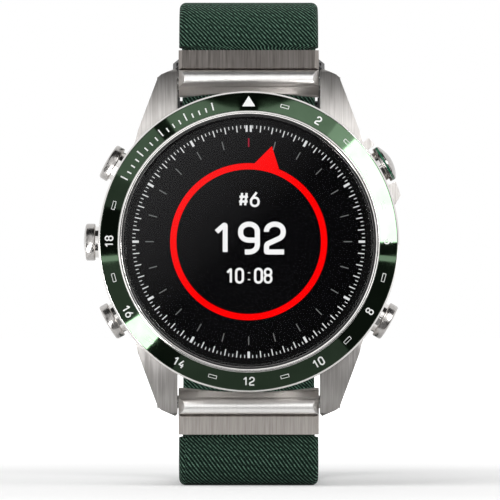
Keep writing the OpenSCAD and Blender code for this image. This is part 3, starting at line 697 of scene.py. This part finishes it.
def lit(name, colour, level):
    """A glowing mark under the crystal: a reading lit by the display, or a printed mark given a painted glow
    in place of the light falling on it.
    """
    material, tree, out = nodes_of(name)
    shader = tree.nodes.new("ShaderNodeBsdfPrincipled")
    tree.links.new(shader.outputs[0], out.inputs[0])
    dots = noise(tree, 12000, detail=1.0)
    near = tuple(c * 0.94 for c in colour)
    tree.links.new(ramp(tree, dots, [(0.3, near), (0.7, colour)]), shader.inputs["Emission Color"])
    shader.inputs["Base Color"].default_value = (0, 0, 0, 1)
    shader.inputs["Roughness"].default_value = 0.4
    shader.inputs["Specular IOR Level"].default_value = 0.0
    shader.inputs["Emission Strength"].default_value = level
    return material


DIAL_DEPTH = 2.57
# Painted light: the printed scale marks glow as the readings do, in place of the light that falls on the
# print under the crystal
white_print_painted_glow = lit("scale_white_painted_glow", (0.84, 0.85, 0.86), 1.5)
grey_print_painted_glow = lit("scale_grey_painted_glow", (0.30, 0.31, 0.31), 1.0)
crimson_print_painted_glow = lit("scale_crimson_painted_glow", (0.6, 0.012, 0.05), 1.0)
lit_white = lit("reading_white", (1.0, 1.0, 1.0), 1.55)
lit_red = lit("ring_red", (1.0, 0.0, 0.0), 1.65)


def on_ring(clock, radius, depth=DIAL_DEPTH):
    turn = Matrix.Translation(HEAD) @ Matrix.Rotation(radians(clock), 4, "Y")
    return turn @ Matrix.Translation(Vector((0, depth, radius)) * MM)


MINUTE_R, PART_R, HOUR_R = 17.38, 17.65, 15.15
MINUTE_MARK, PART_MARK, HOUR_MARK = 1.17, 0.64, 1.3
fine, coarse = [], []
for clock in range(0, 360, 2):
    if clock == 0:
        for side in (-1, 1):
            where = on_ring(0, MINUTE_R) @ Matrix.Translation((side * 0.32 * MM, 0, 0))
            fine += placed([bar(MINUTE_MARK, 0.30)], where)
    elif clock % 6 == 0:
        width = 0.36 if clock % 30 == 0 else 0.15
        fine += placed([bar(MINUTE_MARK, width)], on_ring(clock, MINUTE_R))
    else:
        fine += placed([bar(PART_MARK, 0.11)], on_ring(clock, PART_R))
for clock in range(15, 360, 15):
    coarse += placed([bar(HOUR_MARK, 0.14)], on_ring(clock, HOUR_R))
joined("minute_scale", fine, white_print_painted_glow)
joined("hour_scale", coarse, grey_print_painted_glow)
joined("twelve_mark", placed([bar(HOUR_MARK, 0.2)], on_ring(0, HOUR_R)), crimson_print_painted_glow)
for name, outer, inner, back, material in (
    ("display_ring", 12.0, 11.05, DIAL_DEPTH, lit_red), ("crystal_border", 19.1, 18.1, 1.96, print_black),
):
    front = back - 0.04
    turned(name, [(outer, back), (outer, front), (inner, front), (inner, back)], material)

POINTER = [(0.86, 11.93), (3.54, 14.6), (4.62, 11.15), (2.6, 11.3)]
bpy.ops.object.select_all(action="DESELECT")
bpy.ops.mesh.primitive_circle_add(vertices=4, radius=MM, fill_type="NGON", rotation=(pi / 2, 0, 0))
pointer = bpy.context.object
pointer.name = "display_pointer"
bpy.ops.object.transform_apply(location=True, rotation=True, scale=True)
for vertex, (x, up) in zip(pointer.data.vertices, reversed(POINTER)):
    vertex.co = on_dial(x, up, DIAL_DEPTH)
bpy.ops.object.mode_set(mode="EDIT")
bpy.ops.mesh.select_all(action="SELECT")
bpy.ops.mesh.extrude_region_move(TRANSFORM_OT_translate={"value": (0, -0.045 * MM, 0)})
bpy.ops.mesh.select_all(action="SELECT")
bpy.ops.mesh.normals_make_consistent(inside=False)
bpy.ops.object.mode_set(mode="OBJECT")
joined("display_pointer", [pointer], lit_red)

readings = []
for text, height, width, weight, pitch, up in (
    ("#6", 2.08, 1.15, 0.36, 1.76, 6.5), ("192", 4.25, 2.55, 0.78, 3.95, 0.55),
    ("10:08", 2.08, 1.02, 0.36, 1.45, -5.2),
):
    where = Matrix.Translation(on_dial(0.05, up, 2.55))
    readings += placed(word(text, height, width, weight, pitch), where)
joined("display_readings", readings, lit_white)
for name in (
    "minute_scale", "hour_scale", "twelve_mark", "display_ring", "display_pointer", "display_readings",
):
    bpy.data.objects[name].visible_diffuse = False
    bpy.data.objects[name].visible_glossy = False

# ---- Inside the case ----
# A light alloy chassis carries the display, the board with its shields, the battery and the motor.

FINE_RELIEF = 0.003 * MM
alloy = finish(
    "chassis_alloy", ((0.34, 0.35, 0.36), (0.46, 0.47, 0.48)), (0.4, 0.55), metal=1.0, scale=3000,
    relief=FINE_RELIEF,
)
laminate = finish("board_laminate", ((0.012, 0.10, 0.035), (0.02, 0.17, 0.06)), (0.3, 0.5), scale=2500)
moulding = finish(
    "moulding_black", ((0.02, 0.02, 0.02), (0.035, 0.035, 0.035)), (0.45, 0.6), scale=4000,
    relief=FINE_RELIEF,
)
gold = finish("contact_gold", ((0.75, 0.52, 0.17), (0.88, 0.66, 0.26)), (0.12, 0.22), metal=1.0, scale=7000)
foil = finish("battery_foil", ((0.60, 0.58, 0.50), (0.74, 0.72, 0.64)), (0.25, 0.4), metal=0.8, scale=1200)
film = finish("antenna_film", ((0.50, 0.26, 0.07), (0.66, 0.38, 0.13)), (0.3, 0.45), scale=2500)
bronze = finish("rotor_bronze", ((0.58, 0.42, 0.18), (0.72, 0.55, 0.27)), (0.25, 0.4), metal=1.0, scale=5000)
black_steel = finish(
    "black_steel", ((0.012, 0.012, 0.013), (0.022, 0.022, 0.024)), (0.16, 0.26), metal=0.4, scale=4000,
    Coat_Weight=0.6,
)
for node, material in (
    ("display_chassis", alloy), ("gps_antenna", film), ("main_board", laminate), ("shield_cans", steel),
    ("board_screws", steel), ("button_switches", moulding), ("battery", foil), ("motor_can", steel),
    ("motor_rotor", bronze), ("sensor_board", laminate), ("back_gasket", rubber), ("button_seals", rubber),
    ("upper_band_pin", steel), ("lower_band_pin", steel), ("upper_latch_springs", steel),
    ("lower_latch_springs", steel),
):
    paint(node, material)

# ---- Back ----
# A turned cover held by four socket screws, with a domed sensor window and a four-pin charging port.

material, tree, out = nodes_of("cover_turned")
shader = tree.nodes.new("ShaderNodeBsdfPrincipled")
tree.links.new(shader.outputs[0], out.inputs[0])
place = tree.nodes.new("ShaderNodeTexCoord")
centre = tree.nodes.new("ShaderNodeMapping")
centre.inputs["Location"].default_value = -HEAD
flat = tree.nodes.new("ShaderNodeVectorMath")
flat.operation = "MULTIPLY"
flat.inputs[1].default_value = (1, 0, 1)
length = tree.nodes.new("ShaderNodeVectorMath")
length.operation = "LENGTH"
tree.links.new(place.outputs["Object"], centre.inputs[0])
tree.links.new(centre.outputs[0], flat.inputs[0])
tree.links.new(flat.outputs[0], length.inputs[0])
rings = tree.nodes.new("ShaderNodeTexNoise")
rings.noise_dimensions = "1D"
rings.inputs["Scale"].default_value = 9000
tree.links.new(length.outputs["Value"], rings.inputs["W"])
grey = ramp(tree, rings.outputs["Fac"], [(0.25, (0.34, 0.32, 0.30)), (0.75, (0.56, 0.53, 0.51))])
tree.links.new(grey, shader.inputs["Base Color"])
tree.links.new(ramp(tree, rings.outputs["Fac"], [(0.25, 0.3), (0.75, 0.45)]), shader.inputs["Roughness"])
shader.inputs["Metallic"].default_value = 1.0
bump(tree, shader, rings.outputs["Fac"], 0.004 * MM)
dress("back_cover", material, 0.06)
dress("back_screws", steel, 0.05)
dress("charge_block", moulding, 0.08)
dress("charge_pins", gold, 0.06)
material, tree, out = nodes_of("sensor_glass")
shader = tree.nodes.new("ShaderNodeBsdfPrincipled")
tree.links.new(shader.outputs[0], out.inputs[0])
haze = noise(tree, 200, detail=1.0)
tint = ramp(tree, haze, [(0.3, (0.006, 0.006, 0.007)), (0.7, (0.012, 0.012, 0.014))])
tree.links.new(tint, shader.inputs["Base Color"])
shader.inputs["Roughness"].default_value = 0.04
shader.inputs["Alpha"].default_value = 0.6
dress("sensor_window", material, 0.1, 3)
lens = finish("led_lens", ((0.10, 0.55, 0.16), (0.30, 0.85, 0.35)), (0.15, 0.25), scale=6000)
diode = finish("diode_dark", ((0.02, 0.025, 0.05), (0.04, 0.05, 0.09)), (0.1, 0.2), scale=6000)
paint("sensor_leds", lens)
paint("sensor_photodiodes", diode)

# ---- Buttons ----
# Five turned caps on stems that slide in sealed tubes, each with its spring and a clip behind. The start
# button has a band of green enamel.

for button in ("light", "up", "down", "start", "back"):
    dress(button + "_button", turned_cap, 0.10, 3)
    paint(button + "_clip", black_steel)
    paint(button + "_spring", steel)
paint("button_tubes", polished)
green_enamel = finish(
    "enamel_green", ((0.006, 0.09, 0.04), (0.012, 0.13, 0.06)), (0.15, 0.25), scale=5000, Coat_Weight=0.5,
)
paint("start_band", green_enamel)

# ---- End links ----
# Each link is milled titanium: a satin round bar in front, a brushed plate that slopes away, and a
# pocket behind for the band's sleeve. A sprung latch at the back frees it from the lug pin.

BAR_UNDER, BAR_BACK = 1.95 * MM, 9.6 * MM
for end, way in (("upper", 1), ("lower", -1)):
    # The upper link takes the darkest copy and the lower link the lighter one, both painted shade
    link = dress(end + "_link", brushed_upper_painted_shade if way > 0 else brushed_lower_painted_shade, 0.13)
    link.data.materials.append(satin)
    pin_z = (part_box(end + "_band_pin")[0].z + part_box(end + "_band_pin")[1].z) / 2
    for face in link.data.polygons:
        out_z = (face.center.z - pin_z) * way
        if out_z < -BAR_UNDER and face.center.y < face_y + BAR_BACK and face.normal.y < 0.1:
            face.material_index = 1
    dress(end + "_latch", brushed, 0.08)

# ---- Band ----
# Woven nylon, double cloth with turned edges. The short strap hangs from the upper link and holds the
# ring; the long strap comes from the lower link, folds round the ring and closes on hook and loop tape.

REAR_BEND = 14.0
PIN_DEPTH, PIN_UP = 10.5, 28.4
BAND_W, BAND_T = 21.5, 2.2
HALF_H, REAR = 36.4, 60.0
LEAN = 1.7
RING_TILT = radians(50)
ALONG = Vector((cos(RING_TILT), -sin(RING_TILT)))
ACROSS = Vector((sin(RING_TILT), cos(RING_TILT)))
RING_TOP = Vector((46.5, 28.9))
RING_LOW = RING_TOP + 8.0 * ALONG
WRAP_R = 0.9 + 0.45 + BAND_T / 2


def weave_material(name, dark, light, pitch=0.62):
    """Twill on the piece's own UV map, whose unit is a millimetre: slanting ribs of short pale floats."""
    material, tree, out = nodes_of(name)
    shader = tree.nodes.new("ShaderNodeBsdfPrincipled")
    tree.links.new(shader.outputs[0], out.inputs[0])

    def math(kind, a, b=None):
        node = tree.nodes.new("ShaderNodeMath")
        node.operation = kind
        for i, value in enumerate((a, b)):
            if value is None:
                continue
            if isinstance(value, (int, float)):
                node.inputs[i].default_value = value
            else:
                tree.links.new(value, node.inputs[i])
        return node.outputs[0]

    uv = tree.nodes.new("ShaderNodeUVMap")
    uv.uv_map = "cloth"
    split = tree.nodes.new("ShaderNodeSeparateXYZ")
    tree.links.new(uv.outputs[0], split.inputs[0])
    along, across = split.outputs["X"], split.outputs["Y"]
    row = math("DIVIDE", math("SUBTRACT", along, across), pitch)
    rib = math("SINE", math("MULTIPLY", row, 2 * pi))
    shift = math("MULTIPLY", math("FLOOR", math("ADD", row, 0.25)), 0.37)
    step = math("ADD", shift, math("DIVIDE", math("ADD", along, across), 1.9))
    dash = math("SINE", math("MULTIPLY", step, 2 * pi))
    yarn = math("SINE", math("MULTIPLY", along, 2 * pi / 0.21))
    rise = math("MULTIPLY_ADD", rib, 0.5)
    rise.node.inputs[2].default_value = 0.5
    float_up = math("MULTIPLY_ADD", dash, 0.06)
    float_up.node.inputs[2].default_value = 0.94
    thread = math("MULTIPLY_ADD", yarn, 0.1)
    thread.node.inputs[2].default_value = 0.9
    fuzz = noise(tree, 2.5, source=uv.outputs[0], detail=3.0)
    mottled = math("MULTIPLY_ADD", fuzz, 0.9)
    mottled.node.inputs[2].default_value = 0.5
    height = math("MULTIPLY", math("MULTIPLY", math("MULTIPLY", rise, float_up), thread), mottled)
    between = tuple((3 * a + b) / 6 for a, b in zip(dark, light))
    colour = ramp(tree, height, [(0.30, dark), (0.66, between), (0.92, light)])
    tree.links.new(colour, shader.inputs["Base Color"])
    tree.links.new(ramp(tree, height, [(0.0, 0.9), (1.0, 0.62)]), shader.inputs["Roughness"])
    shader.inputs["Sheen Weight"].default_value = 0.03
    shader.inputs["Sheen Roughness"].default_value = 0.4
    shader.inputs["Specular IOR Level"].default_value = 0.1
    bump(tree, shader, height, 0.16 * MM)
    return material


weave = weave_material("band_weave", (0.0008, 0.0085, 0.0052), (0.15, 0.30, 0.21))


def path_between(corners, radii, spacing=0.35):
    """Evenly spaced points along a line of (depth, height) corners with rounded bends."""
    points = [(*c, r) for c, r in zip(corners, [0, *radii, 0])]
    line = rounded(points)
    even, carry = [line[0]], 0.0
    for a, b in zip(line, line[1:]):
        span = (b - a).length
        at = spacing - carry
        while at < span:
            even.append(a.lerp(b, at / span))
            at += spacing
        carry = span - (at - spacing)
    if (even[-1] - line[-1]).length > spacing * 0.3:
        even.append(line[-1])
    return even


def strap_profile(width, thick, edge):
    """The outline of a strap's cross-section, (across, out) pairs in order, its edges rounded."""
    t = thick / 2
    edge = min(edge, t)
    x0, y0 = width / 2 - edge, t - edge
    flat = [x0 * (2 * i / 24 - 1) for i in range(25)]
    outline = [(x, t) for x in flat]
    for side in (1, -1):
        if side < 0:
            outline += [(x, -t) for x in reversed(flat)]
        for a in range(15, 180, 15):
            middle = y0 if a < 90 else -y0
            bulge = edge * sin(radians(a))
            outline.append((side * (x0 + bulge), side * (middle + edge * cos(radians(a)))))
    return outline


def strap(name, line, width=BAND_W, thick=BAND_T, edge=1.0, start=0.0, taper=None):
    """A strap lying along a line of (depth, height) points, with a UV map in millimetres."""
    outline = strap_profile(width, thick, edge)
    count = len(outline)
    bpy.ops.object.select_all(action="DESELECT")
    bpy.ops.mesh.primitive_circle_add(vertices=count, radius=MM, fill_type="NGON")
    piece = bpy.context.object
    piece.name = name
    bpy.ops.object.mode_set(mode="EDIT")
    bpy.ops.mesh.select_all(action="SELECT")
    for _ in line[1:]:
        bpy.ops.mesh.extrude_region_move(TRANSFORM_OT_translate={"value": (0, 0, MM)})
    bpy.ops.object.mode_set(mode="OBJECT")
    mesh = piece.data
    order = sorted(range(len(mesh.vertices)), key=lambda i: round(mesh.vertices[i].co.z / MM))
    rings = [order[k * count:(k + 1) * count] for k in range(len(line))]
    rank = {}
    for k, ring in enumerate(rings):
        ring = sorted(ring, key=lambda i: atan2(mesh.vertices[i].co.y, mesh.vertices[i].co.x))
        for j, i in enumerate(ring):
            rank[i] = (k, j)
    lengths = [start]
    for a, b in zip(line, line[1:]):
        lengths.append(lengths[-1] + (b - a).length)
    around = [0.0]
    for a, b in zip(outline, outline[1:]):
        around.append(around[-1] + (Vector(b) - Vector(a)).length)
    whole = around[-1] + (Vector(outline[0]) - Vector(outline[-1])).length
    for i, (k, j) in rank.items():
        a, b = line[max(k - 1, 0)], line[min(k + 1, len(line) - 1)]
        way = (b - a).normalized()
        off = Vector((way.y, -way.x))
        across, out_by = outline[j]
        if taper:
            across *= taper(lengths[k])
        spot = line[k] + off * out_by
        mesh.vertices[i].co = on_dial(across, spot.y, spot.x)
    mesh.uv_layers.new(name="cloth")
    layer = mesh.uv_layers["cloth"].data
    for face in mesh.polygons:
        ranks = [rank[mesh.loops[l].vertex_index] for l in face.loop_indices]
        wraps = max(j for _, j in ranks) - min(j for _, j in ranks) > count / 2
        for l, (k, j) in zip(face.loop_indices, ranks):
            across = around[j] + (whole if wraps and j < count / 2 else 0)
            layer[l].uv = (lengths[k], across)
    activate(piece)
    bpy.ops.object.mode_set(mode="EDIT")
    bpy.ops.mesh.select_all(action="SELECT")
    bpy.ops.mesh.normals_make_consistent(inside=False)
    bpy.ops.object.mode_set(mode="OBJECT")
    mesh.materials.append(weave)
    settle(piece, 50)
    return piece, lengths[-1]


TONGUE_W, TONGUE_LENGTH = 18.8, 1.45


def tongue(length_in):
    """How much narrower the strap is at a distance from the pin, where it enters the link."""
    return min(1.0, TONGUE_W / BAND_W + max(0, length_in - TONGUE_LENGTH) * 2)


SLOPE = radians(38)
top_corner = RING_TOP + 7.5 / sin(SLOPE) * Vector((-cos(SLOPE), sin(SLOPE)))
short_line = path_between(
    [(PIN_DEPTH, PIN_UP), (PIN_DEPTH + 1.1, HALF_H), top_corner, RING_TOP], [7.0, 18.0],
)
short_strap, _ = strap("short_strap", short_line, taper=tongue)
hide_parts("short_band")
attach(short_strap, "band")


def ring_side(offset):
    return RING_LOW + (offset - WRAP_R) * ACROSS


def rear_corner(offset):
    side = ring_side(offset)
    return side + (REAR + offset - side.x) / ALONG.x * ALONG


long_line = path_between(
    [(PIN_DEPTH, -PIN_UP), (PIN_DEPTH - LEAN, -HALF_H), (REAR, -HALF_H), rear_corner(0), ring_side(0)],
    [3.0, 20.0, REAR_BEND],
)
long_strap, long_length = strap("long_strap", long_line, taper=tongue)
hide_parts("long_band")
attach(long_strap, "band")

LOOP_OUT, HOOK_OUT, TAIL_OUT, PILE_T = 1.425, 2.275, 3.7, 0.55
TAIL_TIP = rear_corner(0).y - 24.0
turn = [radians(5 * i) for i in range(37)]
fold_line = [RING_LOW - WRAP_R * (cos(a) * ACROSS + sin(a) * ALONG) for a in turn]
fold, fold_length = strap("band_fold", fold_line, start=long_length)
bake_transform(fold)
tail_line = path_between(
    [RING_LOW + WRAP_R * ACROSS, ring_side(TAIL_OUT) + 5.5 * ALONG, rear_corner(TAIL_OUT),
     (REAR + TAIL_OUT, TAIL_TIP)],
    [12.0, REAR_BEND + TAIL_OUT],
)
tail_strap, _ = strap("tail_strap", tail_line, start=fold_length)
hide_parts("tail")
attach(tail_strap, "tail")


def rear_line(offset, start, low):
    """The band's rear at an offset outside its middle line, from start along the ring's line down to low."""
    corners = [ring_side(offset) + start * ALONG, rear_corner(offset), (REAR + offset, low)]
    return path_between(corners, [REAR_BEND + offset])


def pile(name, dark, light, scale, relief):
    """The napped face of one half of a hook-and-loop tape."""
    material, tree, out = nodes_of(name)
    shader = tree.nodes.new("ShaderNodeBsdfPrincipled")
    tree.links.new(shader.outputs[0], out.inputs[0])
    tufts = noise(tree, scale, detail=5.0, roughness=0.7)
    tree.links.new(ramp(tree, tufts, [(0.3, dark), (0.7, light)]), shader.inputs["Base Color"])
    tree.links.new(ramp(tree, tufts, [(0.3, 0.95), (0.7, 0.75)]), shader.inputs["Roughness"])
    shader.inputs["Sheen Weight"].default_value = 0.05
    shader.inputs["Specular IOR Level"].default_value = 0.15
    bump(tree, shader, tufts, relief)
    return material


PILE_RELIEF = 0.5 * MM
loops = pile("loop_pile", (0.001, 0.007, 0.004), (0.022, 0.085, 0.055), 1900, PILE_RELIEF)
hooks = pile("hook_tape", (0.001, 0.002, 0.0015), (0.022, 0.032, 0.027), 1300, PILE_RELIEF)
for node, offset, start, low, body, material in (
    ("loop_patch", LOOP_OUT, 6.5, TAIL_TIP - 8, "band", loops),
    ("hook_patch", HOOK_OUT, 8.0, TAIL_TIP + 1, "tail", hooks),
):
    tape, _ = strap(node + "_tape", rear_line(offset, start, low), width=BAND_W - 2, thick=PILE_T, edge=0.2)
    tape.data.materials.clear()
    tape.data.materials.append(material)
    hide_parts(node)
    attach(tape, body)

# ---- Stitching ----
# Thick nylon thread in short even stitches closes the sleeve round the ring and edges the tapes.

STITCH, STITCH_PITCH, STITCH_UP = 0.95, 1.25, 0.02
thread = finish(
    "thread_green", ((0.010, 0.045, 0.030), (0.030, 0.10, 0.068)), (0.55, 0.75), scale=9000, relief=0.02 * MM,
)
bpy.ops.object.select_all(action="DESELECT")
bpy.ops.mesh.primitive_cylinder_add(vertices=6, radius=0.15 * MM, depth=STITCH * MM)
stitch = bpy.context.object
bpy.ops.object.mode_set(mode="EDIT")
bpy.ops.mesh.bevel(offset=0.07 * MM, segments=2)
bpy.ops.object.mode_set(mode="OBJECT")


def sewn(name, line, spots, out_by, body):
    """Copies of the stitch at (distance, across, crosswise) spots on a strap's face, joined."""
    lengths = [0.0]
    for a, b in zip(line, line[1:]):
        lengths.append(lengths[-1] + (b - a).length)
    copies = []
    for distance, across, crosswise in spots:
        k = next((i for i, l in enumerate(lengths[1:]) if l >= distance), len(line) - 2)
        a, b = line[k], line[k + 1]
        spot = a.lerp(b, (distance - lengths[k]) / (b - a).length)
        way = (b - a).normalized()
        spot = spot + out_by * Vector((way.y, -way.x))
        copy = stitch.copy()
        copy.data = stitch.data.copy()
        bpy.context.scene.collection.objects.link(copy)
        turn = (pi / 2, "Y") if crosswise else (-atan2(way.x, way.y), "X")
        lay = Matrix.Rotation(turn[0], 4, turn[1])
        copy.matrix_world = Matrix.Translation(on_dial(across, spot.y, spot.x)) @ lay
        copies.append(copy)
    piece = joined(name, copies, thread)
    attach(piece, body)
    return piece


def frame_of_stitches(first, last, half):
    """A rectangle of stitches on a strap, between two distances along it."""
    down = [first + STITCH_PITCH * i for i in range(int((last - first) / STITCH_PITCH) + 1)]
    across = [-half + STITCH_PITCH * (i + 0.5) for i in range(int(2 * half / STITCH_PITCH))]
    spots = [(at, side * half, False) for side in (-1, 1) for at in down]
    return spots + [(at, x, True) for at in (first - 0.4, last + 0.4) for x in across]


short_length = sum((b - a).length for a, b in zip(short_line, short_line[1:]))
rows = [(short_length - back, -9 + STITCH_PITCH * i, True) for back in (4.6, 5.8) for i in range(15)]
sewn("sleeve_stitches", short_line, rows, -BAND_T / 2 - STITCH_UP, "band")
tail_length = sum((b - a).length for a, b in zip(tail_line, tail_line[1:]))
tape_frame = frame_of_stitches(tail_length - 22, tail_length - 1.8, 9.2)
sewn("tail_stitches", tail_line, tape_frame, BAND_T / 2 + STITCH_UP, "tail")
bpy.data.objects.remove(stitch)

# ---- Keeper ring ----
# Black coated steel: two round bars between two flat rails with clipped corners.

dress("ring", black_steel, 0.12, 3)
